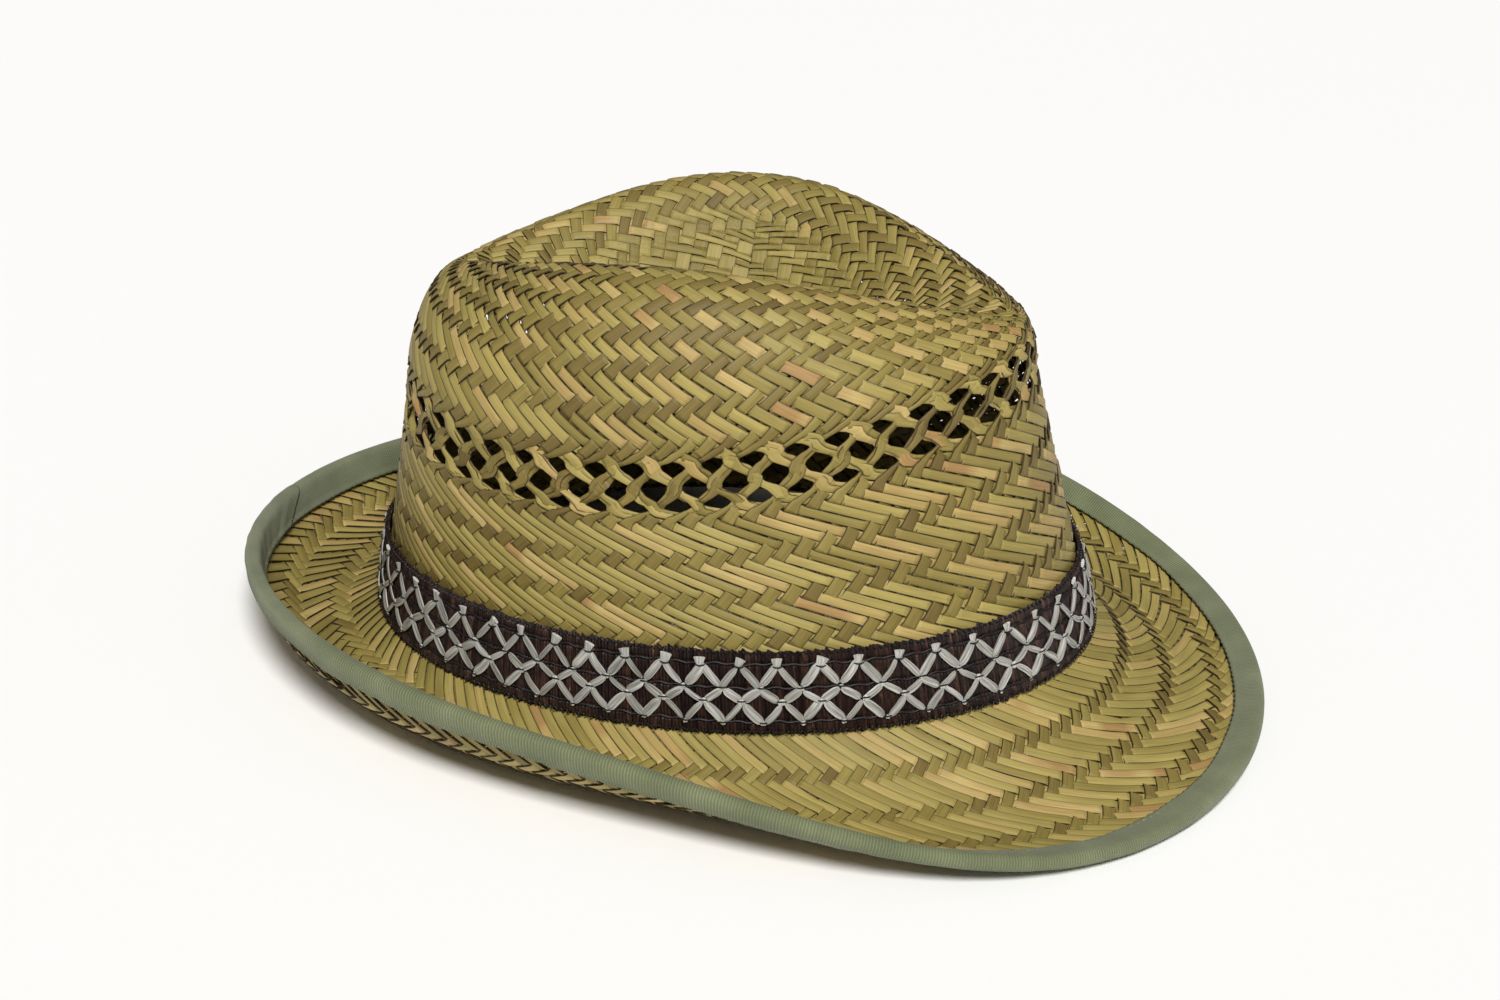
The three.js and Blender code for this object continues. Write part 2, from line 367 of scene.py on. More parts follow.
crownWeave = {
    "strands": 44,  # strands each way in the mat at the tip, so 88 each way on the wall
    "open": 58,  # level of the openwork's middle, counted in crossings from the tip
    "foot": 94,
    "matStretch": -0.02,  # share that the levels near the middle of the tip are spread by
    "openStretch": 1.3,  # mm that the openwork is drawn out to either side of its middle
    "openBend": 0.22,  # share of the pitch that the strands of the openwork bend towards their crossings
    "shrunk": 0.55,  # share of its width that a strand can lose where it shrank as it dried
    "matEnd": 17,  # level where the plain twill of the tip turns into rings
    "evenEnd": 41,  # level where the long floats begin
    "skewAbove": 0.08,  # share of the pitch that the whole weave drifts at each level
    "skewOpen": 0.05,
    "skewBelow": 0.2,
    "lift": 0.3,  # mm that a strand stands off the middle of the weave
    "thickness": 0.32,
    "fillDown": 0.95,  # width over the room, for the long strands and the short ones
    "fillUp": 0.88,
    "pairing": 0.74,  # share of the half pitch that the strands of the openwork close up by, two by two
    "narrowed": (0.17, 0.33),  # share of their width that they lose, all along and more at the crossings
    "tilt": 8,  # degrees
    "longTones": (0.3, 0.98),  # place in the row of straw colours, for the long and the short strands; the short ones are darker, partly browner straw and partly painted shade of the stubs that lie low and face away from the light
    "shortShadedTones": (0.1, 0.44),
}


def crownSurface():
    rises = np.linspace(0, 3, 361)[::-1]
    points = crownPoint(angles[:, None], rises[None])
    lengths = np.linalg.norm(np.diff(points, axis=1), axis=-1)
    runs = np.concatenate([np.zeros((361, 1)), np.cumsum(lengths, 1)], 1)
    heights = np.where(rises[None] < 2, points[..., 2], 1e3)
    levels = np.arange(0, crownWeave["foot"] + 0.01, 0.5)
    opened, footLevel = crownWeave["open"], crownWeave["foot"]
    share = levels / opened
    placed = np.empty((361, len(levels), 3))
    for i in range(361):
        openRun = np.interp(-atStation("openwork", angles[i]), -heights[i], runs[i])
        upper = openRun * (share + crownWeave["matStretch"] * np.sin(math.pi * share))
        lower = openRun + (runs[i, -1] - openRun) * (levels - opened) / (footLevel - opened)
        near = np.clip((levels - opened) / 4.5, -1, 1)
        wanted = np.where(levels < opened, upper, lower) + crownWeave["openStretch"] * np.sin(math.pi * near)
        for axis in range(3):
            placed[i, :, axis] = np.interp(wanted, runs[i], points[i, :, axis])
    surface = Surface(placed, 0.5)
    surface.normals[:, 0] = unit(surface.normals[:, 1].mean(0))
    half = hat["thickness"] / 2
    surface.points = surface.points - surface.normals * half
    return surface


# True where the strands that run down to the front's side lie on top, the long floats of the wall
def longOver(level, first, second):
    opened = crownWeave["open"]
    if abs(level - opened) <= 3:
        return (2 * (first // 2 + second // 2) + 2 - opened) % 4 != 0
    if level < crownWeave["evenEnd"]:
        return (level - crownWeave["evenEnd"]) % 4 not in (2, 3)
    if level < opened:
        return (level - opened) % 5 not in (0, 1)
    return (level - opened) % 6 not in (4, 5)


def crownStrand(kind, line):
    total, opened, footLevel = crownWeave["strands"], crownWeave["open"], crownWeave["foot"]
    ringEnd, pitch = total / 2, turn / (2 * total)
    fixed = abs(line)
    reach = int(footLevel - fixed)
    marks = np.arange(-reach - 0.5 + 1, reach + 0.5)
    marks = marks[np.abs(marks) + fixed <= footLevel]

    def quadrant(mark):
        ahead, aside = (mark >= 0, line >= 0) if kind == "x" else (line >= 0, mark >= 0)
        return {(True, True): 0, (False, True): 1, (False, False): 2, (True, False): 3}[(ahead, aside)]

    def facts(mark):
        level = abs(mark) + fixed
        part = quadrant(mark)
        along, other = (abs(mark), fixed) if kind == "x" else (fixed, abs(mark))
        later = other if part % 2 == 0 else along
        down = (kind == "x") == (part % 2 == 0)
        if level <= ringEnd:
            around = turn / 4 * (part + later / level)
        else:
            around = turn / 4 * (part + 0.5 + (2 * later - level) / total)
        return level, around, down, part

    over = []
    for mark in marks:
        level, around, down, part = facts(mark)
        # numbers of the two strands that cross here, counted round the wall
        index = around / pitch
        first = int(math.floor((2 * index + level) / 2 + 1e-6))
        second = int(round(level - 1)) - first
        if level <= crownWeave["matEnd"]:
            twill = int(math.floor(mark) - math.floor(line)) * (1 if kind == "x" else -1)
            over.append((twill % 4 < 2) == (kind == "x"))
        else:
            over.append(longOver(int(round(level)), first, second) == down)
    places, lifts = betweenCrossings(over, crownWeave["lift"])
    at = np.interp(places, np.arange(len(marks)), marks)
    levels, around, downs = [], [], []
    for mark in at:
        level, angle, down, part = facts(mark)
        if level > ringEnd:
            near = math.exp(-((level - opened) / 3.2) ** 4)
            index = angle / pitch
            own = (index + level / 2) if down else (level / 2 - index)
            toPair = 0.5 if int(math.floor(own + 1e-6)) % 2 == 0 else -0.5
            shift = toPair * crownWeave["pairing"] * near
            angle += pitch * (shift if down else -shift)
            # nodes lie side by side in the middle of the openwork, and half a gap further round beyond it
            beat = math.cos(math.pi * (level - opened) / 2)
            beat *= math.sin(math.pi * (angle / pitch - opened / 2 - 1))
            angle -= pitch * crownWeave["openBend"] * near * beat
        else:
            # in the middle of the tip the strands run straight
            later = level * (4 * angle / turn - part)
            straight = 1 - level / ringEnd
            angle += (turn / 4 * part + math.atan2(later, level - later) - angle) * straight
            level += (1.27 * math.hypot(mark, fixed) - level) * straight
        levels.append(level)
        around.append(angle)
        downs.append(down)
    return np.array(levels), np.array(around), np.array(downs), lifts, np.abs(at) < 1.2


def weaveCrown(material, rim):
    surface = crownSurface()
    opened, pitch = crownWeave["open"], turn / (2 * crownWeave["strands"])
    ringEnd = crownWeave["strands"] / 2
    driftStep = 0.25
    driftLevels = np.arange(0, crownWeave["foot"] + 1, driftStep)
    skew = np.where(driftLevels < opened, crownWeave["skewAbove"], crownWeave["skewBelow"])
    skew = np.where(np.abs(driftLevels - opened) < 3, crownWeave["skewOpen"], skew) * (driftLevels > ringEnd)
    drift = np.cumsum(skew) * driftStep * pitch
    groups = {
        "crown_weave_left": ("x", -1),
        "crown_weave_right": ("x", 1),
        "crown_weave_front": ("y", -1),
        "crown_weave_back": ("y", 1),
    }
    for name, (kind, sign) in groups.items():
        bm, layers = strandMesh()
        for step in range(crownWeave["strands"] // 2):
            line = sign * (step + 0.5)
            levels, around, downs, lifts, turning = crownStrand(kind, line)
            around = around - np.interp(levels, driftLevels, drift)
            near = np.exp(-((levels - opened) / 3.2) ** 4)
            wobble = slowNoise(len(levels), 9, 0.05) + near * slowNoise(len(levels), 4, 0.1)
            around = around + wobble * turn / np.minimum(4 * np.maximum(levels, 1), 4 * ringEnd)
            flat, normals = surface.place(around, levels), surface.normal(around, levels)
            centres = flat + normals * lifts[:, None]
            tangents = unit(np.gradient(centres, axis=0))
            sides = unit(np.cross(normals, tangents))
            ringPitch = turn / np.clip(4 * levels, 4, 4 * ringEnd)
            aheadOf, behind = (surface.place(around + way * ringPitch / 2, levels) for way in (1, -1))
            ringStep = aheadOf - behind
            room = np.linalg.norm(np.cross(ringStep, tangents), axis=1)
            # where a strand of the mat runs along a ring, it has the room that it has before and after
            if turning.any():
                steps = np.arange(len(room))
                room = np.interp(steps, steps[~turning], room[~turning])
            fill = np.where(downs, crownWeave["fillDown"], crownWeave["fillUp"])
            ringed = smoothStep((levels - crownWeave["matEnd"]) / 6)
            fill = 1 + (fill - 1) * ringed
            beat = 0.5 + 0.5 * np.cos(math.pi * (levels - opened) / 2)
            beat = np.where(downs, beat, 1 - beat)
            widths = np.clip(room * fill, 0.8, 5.0) * dice.uniform(0.93, 1.04)
            evenly, atNodes = crownWeave["narrowed"]
            widths = widths * (1 - near * (evenly + atNodes * beat))
            # here and there a strand has shrunk as it dried
            shrunk = np.exp(-((np.arange(len(levels)) - dice.uniform(0, len(levels))) / 1.5) ** 2)
            widths = widths * (1 - crownWeave["shrunk"] * dice.uniform(0, 1) ** 2 * shrunk)
            tilt = math.radians(crownWeave["tilt"]) * np.where(downs, 1, -1) * ringed
            tilt = tilt + math.radians(2) * dice.normal()
            tilt = tilt + near * slowNoise(len(levels), 5, 0.25)
            sides = sides * np.cos(tilt)[:, None] + normals * np.sin(tilt)[:, None]
            share = dice.uniform(0, 1)
            longTone = np.interp(share, (0, 1), crownWeave["longTones"])
            shortShadedTone = np.interp(share, (0, 1), crownWeave["shortShadedTones"])
            matTone = longTone * 0.6 + shortShadedTone * 0.4
            # the short stubs take the darker tones: partly browner straw, partly painted shade
            tones = np.where(downs, longTone, shortShadedTone) * ringed + matTone * (1 - ringed)
            addStrip(bm, layers, centres, sides, widths, tones)
        addPiece(name, bm, material, "crown", crownWeave["thickness"] * mm, rim=rim)


sedgeStraw, sedgeGapShade = strawMaterial("plaitedSedgeStraw"), strawGapShadeMaterial()
weaveCrown(sedgeStraw, sedgeGapShade)
print("crown woven")


brimWeave = {
    "strands": 150,
    "step": 2.07,  # mm from one crossing to the next, outwards
    "start": -1.2,  # mm from the crown's outer face to the first crossing
    "crossings": 30,
    "period": 7,  # crossings from one long float to the next
    "skew": 0.1,
    "shrunk": 0.55,
    "lift": 0.3,
    "thickness": 0.32,
    "fillDown": 0.95,
    "fillUp": 0.88,
    "tilt": 8,
    # the brim's strands run paler than the crown's: partly paler straw, partly painted light on the brim's upper
    # face; the short ones are darker, partly painted shade
    "longTones": (0.4, 1.0),
    "shortShadedTones": (0.14, 0.48),
    "underTape": 4,  # mm from the edge where the strands end, inside the tape
}


def brimTable(step):
    out = np.arange(-4, 64, step)
    width = atStation("width", angles)[:, None]
    slopeIn, slopeOut = (np.radians(atStation(name, angles))[:, None] for name in ("slopeIn", "slopeOut"))
    start = ovalPoint(hat["foot"], angles, 0 * angles)
    foot = hat["foot"]
    outwards = unit(start * np.array([1 / foot["halfWidth"] ** 2, 1 / foot["halfLength"] ** 2, 0]))
    middle = np.clip((out[None] + step / 2) / width, 0, 1.2)
    slope = slopeIn + (slopeOut - slopeIn) * middle ** hat["brimCurl"]
    flat = out[None] + step / 2 < 0
    far = np.where(flat, step, np.cos(slope) * step)
    rise = np.where(flat, 0, np.sin(slope) * step)
    far = np.concatenate([np.zeros((361, 1)), np.cumsum(far, 1)], 1)[:, :-1] - 4
    rise = np.concatenate([np.zeros((361, 1)), np.cumsum(rise, 1)], 1)[:, :-1]
    points = start[:, None] + outwards[:, None] * far[..., None]
    points[..., 2] += rise
    return Surface(points, step)


brimSurface = brimTable(0.5)


def brimPlace(around, out):
    return brimSurface.place(around, np.asarray(out) + 4), brimSurface.normal(around, np.asarray(out) + 4)


def weaveBrim(material, rim):
    pitch, step = turn / brimWeave["strands"], brimWeave["step"]
    for name, down in (("brim_weave_long", True), ("brim_weave_short", False)):
        bm, layers = strandMesh()
        for strand in range(brimWeave["strands"]):
            first = -1
            crossings = np.arange(first, first + brimWeave["crossings"])
            longTop = (crossings % brimWeave["period"]) < brimWeave["period"] - 2
            places, lifts = betweenCrossings(longTop == down, brimWeave["lift"])
            levels = places + first
            way = -1 if down else 1
            around = pitch * (strand + way * levels / 2 - brimWeave["skew"] * levels)
            around = around + pitch * slowNoise(len(levels), 9, 0.05)
            out = (levels - first) * step + brimWeave["start"]
            keep = out < atStation("width", around) - brimWeave["underTape"]
            levels, around, out, lifts = levels[keep], around[keep], out[keep], lifts[keep]
            flat, normals = brimPlace(around, out)
            centres = flat + normals * lifts[:, None]
            tangents = unit(np.gradient(centres, axis=0))
            sides = unit(np.cross(normals, tangents))
            ringStep = brimPlace(around + pitch / 2, out)[0] - brimPlace(around - pitch / 2, out)[0]
            room = np.linalg.norm(np.cross(ringStep, tangents), axis=1)
            widths = room * brimWeave["fillDown" if down else "fillUp"] * dice.uniform(0.92, 1.04)
            shrunk = np.exp(-((np.arange(len(levels)) - dice.uniform(0, len(levels))) / 1.5) ** 2)
            widths = widths * (1 - brimWeave["shrunk"] * dice.uniform(0, 1) ** 2 * shrunk)
            tilt = math.radians(brimWeave["tilt"]) * (1 if down else -1) + math.radians(2) * dice.normal()
            sides = sides * math.cos(tilt) + normals * math.sin(tilt)
            low, high = brimWeave["longTones" if down else "shortShadedTones"]
            addStrip(bm, layers, centres, sides, widths, dice.uniform(low, high))
        addPiece(name, bm, material, "brim", brimWeave["thickness"] * mm, rim=rim)


weaveBrim(sedgeStraw, sedgeGapShade)
print("brim woven")


# A closed or open sheet of cells laid over a table of places, row by row
def addCells(bm, layers, places, runs, across, tones):
    rows, count = places.shape[:2]
    verts = bmesh.ops.create_grid(bm, x_segments=count - 1, y_segments=rows - 1, size=1)["verts"]
    flat = toRow(places.reshape(-1, 3))
    marks = [np.broadcast_to(values, (rows, count)).ravel() for values in (runs, across, tones)]
    for k, vert in enumerate(verts):
        vert.co = flat[k]
        for layer, values in zip(layers, marks):
            vert[layer] = values[k]


# Round cord along a path, its ends drawn to a point unless it closes on itself
def addCord(bm, layers, path, outwards, radius, sides=5, closed=False):
    tangents = unit(np.gradient(path, axis=0))
    if closed:
        tangents[0] = tangents[-1] = unit(path[1] - path[-2])
    aside = unit(np.cross(outwards, tangents))
    out = unit(np.cross(tangents, aside))
    radii = np.full(len(path), float(radius))
    if not closed:
        radii[0] = radii[-1] = 0
    turns = np.linspace(0, turn, sides + 1)[:, None, None]
    places = path + radii[:, None] * (np.cos(turns) * out + np.sin(turns) * aside)
    steps = np.concatenate([[0], np.cumsum(np.linalg.norm(np.diff(path, axis=0), axis=1))])
    addCells(bm, layers, places, steps, 0, 0)


def closeSeams(bm):
    bmesh.ops.remove_doubles(bm, verts=bm.verts, dist=2e-6)
    bmesh.ops.recalc_face_normals(bm, faces=bm.faces)


heights = np.arange(0, 31.0)
wall = Surface(crownPoint(angles[:, None], heights[None] / atStation("shoulder", angles)[:, None]), 1.0)
wall.normals *= -1


def wallPlace(around, height, lift):
    around, height, lift = np.broadcast_arrays(np.asarray(around, float), height, lift)
    places = wall.place(around, height) + wall.normal(around, height) * lift[..., None]
    places[..., 2] = height
    return places


hatBand = {
    "bottom": 1.3,
    "middle": 12.0,
    "top": 22.6,
    "girth": 577,  # mm round its outside
    "radius": 92,  # mean of its outside
    "inside": 0.35,  # mm that its back stands off the crown
    "ribs": 560,
    "lift": 1.45,  # mm from the crown's outer face to the top of the ribs
    "groove": 0.45,
    "threads": (0.15, 0.44, 0.85),  # shares of the height, from the top edge down
    "repeats": 52,
    "latticeLift": 0.35,
}

bandLook = {
    # the two palest stops are painted glints, highlights on the ribs
    "stops": [(0.0, "#0b0605"), (0.3, "#1d110e"), (0.6, "#35221b"), (0.8, "#4e3328"),
              (0.93, "#6e5838"), (1.0, "#9c8c7c")],
    "thread": "#0c0a0b",
    "lattice": [(0.0, "#6b6962"), (0.5, "#98968e"), (1.0, "#c6c4bd")],
    "knot": [(0.0, "#94928a"), (0.5, "#bcbab2"), (1.0, "#dddbd5")],
}


def bandHeight(share):
    return hatBand["top"] - np.asarray(share) * (hatBand["top"] - hatBand["bottom"])


# Dyed raffia, stiff strips packed side by side: dark ribs, and a few paler ones whose colour is a painted
# highlight, the glint where a strip turns up
def raffiaMaterial():
    material, tree, shader = newMaterial("dyedRaffia", 0.42, 1.45)
    across = readLayer(tree, "across")
    run = readLayer(tree, "run")
    tone = readLayer(tree, "tone")
    sideways = addNode(tree, "ShaderNodeMath", {1: 2.6}, {0: run}, operation="MULTIPLY")
    upwards = addNode(tree, "ShaderNodeMath", {1: 0.35}, {0: across}, operation="MULTIPLY")
    place = addNode(tree, "ShaderNodeCombineXYZ", None, {"X": sideways.outputs[0], "Y": upwards.outputs[0]})
    strips = addNode(tree, "ShaderNodeTexNoise", {"Scale": 1.0, "Detail": 3.0, "Roughness": 0.7},
                     {"Vector": place.outputs[0]})
    mixed = addNode(tree, "ShaderNodeMath", {1: 1.5, 2: -0.62}, {0: strips.outputs[0]},
                    operation="MULTIPLY_ADD")
    toned = addNode(tree, "ShaderNodeMath", {1: 0.55}, {0: tone, 2: mixed.outputs[0]},
                    operation="MULTIPLY_ADD", use_clamp=True)
    ramp = addNode(tree, "ShaderNodeValToRGB", None, {"Fac": toned.outputs[0]})
    fillRamp(ramp, bandLook["stops"])
    tree.links.new(ramp.outputs[0], shader.inputs["Base Color"])
    bump = addNode(tree, "ShaderNodeBump", {"Strength": 0.8, "Distance": 0.00025},
                   {"Height": strips.outputs[0]})
    tree.links.new(bump.outputs[0], shader.inputs["Normal"])
    return material


# Spun sewing thread: matt, with painted light and shade along it, darker in the turns of its twist and paler
# between them
def threadMaterial(name, code):
    material, tree, shader = newMaterial(name, 0.6)
    run = readLayer(tree, "run")
    twist = addNode(tree, "ShaderNodeMath", {1: 5.0}, {0: run}, operation="MULTIPLY")
    wave = addNode(tree, "ShaderNodeMath", None, {0: twist.outputs[0]}, operation="SINE")
    shade = addNode(tree, "ShaderNodeMapRange", {"From Min": -1.0, "To Min": 0.75, "To Max": 1.15},
                    {"Value": wave.outputs[0]})
    colour = addNode(tree, "ShaderNodeVectorMath", {0: linearColour(code)[:3]}, {"Scale": shade.outputs[0]},
                     operation="SCALE")
    tree.links.new(colour.outputs[0], shader.inputs["Base Color"])
    return material


# Flat ribbon straw of drawn polypropylene: pearly, with fine lines along it
def ribbonMaterial(name, stops):
    material, tree, shader = newMaterial(name, 0.45, 1.49)
    across = readLayer(tree, "across")
    run = readLayer(tree, "run")
    tone = readLayer(tree, "tone")
    sideways = addNode(tree, "ShaderNodeMath", {1: 3.0}, {0: across}, operation="MULTIPLY")
    lengthways = addNode(tree, "ShaderNodeMath", {1: 0.12}, {0: run}, operation="MULTIPLY")
    apart = addNode(tree, "ShaderNodeMath", {1: 61.0}, {0: tone}, operation="MULTIPLY")
    place = addNode(tree, "ShaderNodeCombineXYZ", None,
                    {"X": sideways.outputs[0], "Y": lengthways.outputs[0], "Z": apart.outputs[0]})
    lines = addNode(tree, "ShaderNodeTexNoise", {"Scale": 1.0, "Detail": 2.0}, {"Vector": place.outputs[0]})
    spread = addNode(tree, "ShaderNodeMapRange", {"From Min": 0.3, "From Max": 0.7},
                     {"Value": lines.outputs[0]})
    ramp = addNode(tree, "ShaderNodeValToRGB", None, {"Fac": spread.outputs[0]})
    fillRamp(ramp, stops)
    tree.links.new(ramp.outputs[0], shader.inputs["Base Color"])
    bump = addNode(tree, "ShaderNodeBump", {"Strength": 0.6, "Distance": 0.0001},
                   {"Height": lines.outputs[0]})
    tree.links.new(bump.outputs[0], shader.inputs["Normal"])
    return material


def makeBand():
    raffia, ribbon = raffiaMaterial(), ribbonMaterial("pearlyRibbonStraw", bandLook["lattice"])
    count, repeats = hatBand["ribs"], hatBand["repeats"]
    outer = hatBand["lift"]

    # ribs: one ridge and one groove each, pinched under the threads, with uneven ends
    shares = np.array([0, 0.015, 0.06, 0.11, 0.15, 0.2, 0.32, 0.4, 0.44, 0.48, 0.62, 0.75, 0.81, 0.85,
                       0.89, 0.95, 0.985, 1])
    around = np.linspace(0, turn, 2 * count + 1)
    ends = dice.normal(0, 0.35, (2, count))
    tones = np.repeat(dice.uniform(0, 1, count), 2)
    tones = np.append(tones, tones[0])
    ridge = np.tile([1.0, 0.0], count)
    ridge = np.append(ridge, ridge[0])
    proud = np.append(np.repeat(dice.normal(0, 0.1, count), 2), 0)
    proud[-1] = proud[0]
    pinch = sum(np.exp(-((shares - line) / 0.022) ** 2) for line in hatBand["threads"])
    pinch = pinch + 1.2 * (np.exp(-(shares / 0.03) ** 2) + np.exp(-((1 - shares) / 0.03) ** 2))
    height = bandHeight(shares)[:, None] + np.zeros(len(around))
    for row, end in ((0, 0), (1, 0), (2, 0), (-1, 1), (-2, 1), (-3, 1)):
        part = 1.0 if row in (0, 1, -1, -2) else 0.5
        moved = np.append(np.repeat(ends[end], 2), ends[end][0])
        height[row] += part * moved
    lift = outer - hatBand["groove"] * (1 - ridge)[None] - 0.3 * pinch[:, None] + proud[None]
    faces = wallPlace(around[None], height, lift)
    insideHeights = np.array([hatBand["bottom"] + 0.5, hatBand["middle"], hatBand["top"] - 0.5])
    inside = wallPlace(around[None], insideHeights[:, None], hatBand["inside"])
    places = np.concatenate([faces, inside, faces[:1]])
    bm, layers = strandMesh()
    runs = around / turn * hatBand["girth"]
    across = np.concatenate([height[:, 0], [1, 12, 22], height[:1, 0]])[:, None]
    addCells(bm, layers, places, runs[None], across, tones[None])
    closeSeams(bm)
    addPiece("band_raffia", bm, raffia, "hat_band")

    # lattice of flat ribbon straw over the ribs, a strip at a time
    bm, layers = strandMesh()
    pitch = turn / repeats
    rows = {
        "upper": (0.16, 0.42, 0.0, 2.3),
        "middle": (0.46, 0.6, 0.5, 2.1),
        "lower": (0.615, 0.84, 0.0, 2.2),
    }
    nodes = []
    for step in range(repeats):
        for name, (high, low, start, width) in rows.items():
            for side in (-0.5, 0.5):
                t = np.linspace(0, 1, 8)
                first = (step + start) * pitch + dice.normal(0, 0.035) * pitch
                sag = dice.normal(0, 0.06) * np.sin(math.pi * t)
                across = first + side * pitch * (0.06 + 0.88 * t + sag) + dice.normal(0, 0.02) * pitch
                height = bandHeight(high + (low - high) * t) + dice.normal(0, 0.3)
                bow = np.sin(math.pi * t)
                lift = outer + 0.12 + hatBand["latticeLift"] * bow ** 0.6 + (0.12 if side > 0 else 0)
                centres = wallPlace(across, height, lift)
                normals = wall.normal(across, height)
                tangents = unit(np.gradient(centres, axis=0))
                sides = unit(np.cross(normals, tangents))
                lean = dice.normal(0, 0.12) + dice.normal(0, 0.15) * (t - 0.5)
                sides = sides * np.cos(lean)[:, None] + normals * np.sin(lean)[:, None]
                widths = width * dice.uniform(0.6, 1.15) * (0.4 + 0.6 * np.clip(bow * 1.7, 0, 1) ** 0.8)
                addStrip(bm, layers, centres, sides, widths, dice.uniform(0, 1))
            nodes.append((name, (step + start) * pitch, (step + start + 0.5) * pitch))
    addPiece("band_lattice", bm, ribbon, None, 0.25 * mm, 1.0)
    return nodes


def latticeKnots(nodes):
    thread = threadMaterial("blackPolyesterThread", bandLook["thread"])
    knotted = ribbonMaterial("knottedRibbonStraw", bandLook["knot"])
    knotSizes = {
        ("upper", "high"): (1.5, 1.25, 0.5, 0.125), ("upper", "low"): (1.1, 0.7, 0.4, 0.44),
        ("middle", "low"): (1.3, 1.0, 0.5, 0.605), ("lower", "low"): (0.85, 0.6, 0.35, 0.865),
    }
    outer = hatBand["lift"]
    bm, layers = strandMesh()
    cords, cordLayers = strandMesh()
    for name, high, low in nodes:
        for end, around in (("high", high), ("low", low)):
            if (name, end) not in knotSizes:
                continue
            wide, tall, deep, share = knotSizes[(name, end)]
            height = bandHeight(share)
            around = around + dice.normal(0, 0.004)
            centre = toRow(wallPlace(around, height, outer + 0.35))
            out = Vector(hatTipRows @ wall.normal(around, height))
            up = Vector(hatTipRows @ np.array([0, 0, 1.0]))
            aside = up.cross(out).normalized()
            size = Vector((wide * dice.uniform(0.8, 1.2), tall * dice.uniform(0.8, 1.2), deep)) * mm
            if end == "high":
                # a folded tuft, tied at its foot and spread above
                facing = Matrix((aside, up.cross(aside), up)).transposed().to_4x4()
                spin = Matrix.Rotation(dice.normal(0, 0.3), 4, "Y")
                scaled = Matrix.Diagonal((size.x, size.z, size.y, 1))
                placed = Matrix.Translation(centre) @ facing @ spin @ scaled
                made = bmesh.ops.create_cone(bm, cap_ends=True, segments=7, radius1=0.5, radius2=1.0, depth=2,
                                             matrix=placed)["verts"]
            else:
                facing = Matrix((aside, out.cross(aside), out)).transposed().to_4x4()
                spin = Matrix.Rotation(dice.normal(0, 0.4), 4, "Z")
                scaled = Matrix.Diagonal((size.x, size.y, size.z, 1))
                placed = Matrix.Translation(centre) @ facing @ spin @ scaled
                made = bmesh.ops.create_icosphere(bm, subdivisions=1, radius=1, matrix=placed)["verts"]
            mark = dice.uniform(0, 1)
            for vert in made:
                vert[layers[0]] = (vert.co - Vector(centre)).dot(up) / mm
                vert[layers[1]] = (vert.co - Vector(centre)).dot(aside) / mm
                vert[layers[2]] = mark
            # the black thread that holds the knot
            t = np.linspace(-1, 1, 6)
            if end == "high":
                line = bandHeight(share + 0.045) + 0.35 * t ** 2
            else:
                line = bandHeight(share - 0.02) - 0.3 * t ** 2
            beside = around + t * (wide + 0.5) / hatBand["radius"]
            path = wallPlace(beside, line, outer + 0.25 + 0.75 * (1 - t ** 2))
            addCord(cords, cordLayers, path, wall.normal(around + 0 * t, line), 0.2, 4)
    addPiece("band_knots", bm, knotted)
    # threads along the band, and looped over both of its edges
    for share in hatBand["threads"]:
        around = np.linspace(0, turn, 521)
        wave = 0.22 * np.sin(around * 104) + 0.16 * np.sin(around * 37)
        height = bandHeight(share) + wave
        path = wallPlace(around, height, outer + 0.05)
        addCord(cords, cordLayers, path, wall.normal(around, height), 0.25, 5, closed=True)
    for share, way in ((0.0, 1), (1.0, -1)):
        loops = 330
        around = np.linspace(0, turn, loops * 5 + 1)
        phase = around * loops
        size = 0.45 + 0.12 * np.sin(around * 61)
        height = bandHeight(share) - way * 0.35 + way * size * np.sin(phase) * 0.9
        path = wallPlace(around, height, outer - 0.15 + 0.35 * np.cos(phase))
        addCord(cords, cordLayers, path, wall.normal(around, height), 0.17, 4, closed=True)
    closeSeams(cords)
    addPiece("band_threads", cords, thread)


# Before it was pulled round the crown the band was a flat strip, as long as its inside is round; this only works
# out the ring of its inside at the band's middle height, and nothing uses it
def declareBand():
    inside = wallPlace(np.linspace(0, turn, 361), hatBand["middle"], hatBand["inside"])


latticeKnots(makeBand())
declareBand()
print("hat band made")


binding = {
    "top": 8.1,  # mm that the tape reaches in over the brim
    "under": 6.9,
    "askew": 0.8,
    "widestAt": 150,  # degrees round
    "lift": 1.75,  # mm from the brim's middle to the tape's outside
    "thickness": 0.5,
    "cells": 1000,  # along the tape
    "stitch": 3.0,
    "stitchIn": 1.1,
    "scallop": 0.35,  # mm that the tape's edge swells between two stitches
    "end": (182, 176.5),  # degrees round where the tape's end lies, at the brim's edge and at the tape's own
    "overlap": 6,  # degrees
    "over": 0.35,  # mm that the end lies above the beginning
}

tapeLook = {
    "stops": [(0.0, "#383f24"), (0.4, "#5b6244"), (0.72, "#707654"), (1.0, "#8a8e6d")],
    "rib": 0.8,  # mm between the ribs
    "stitch": "#9a9a74",
}
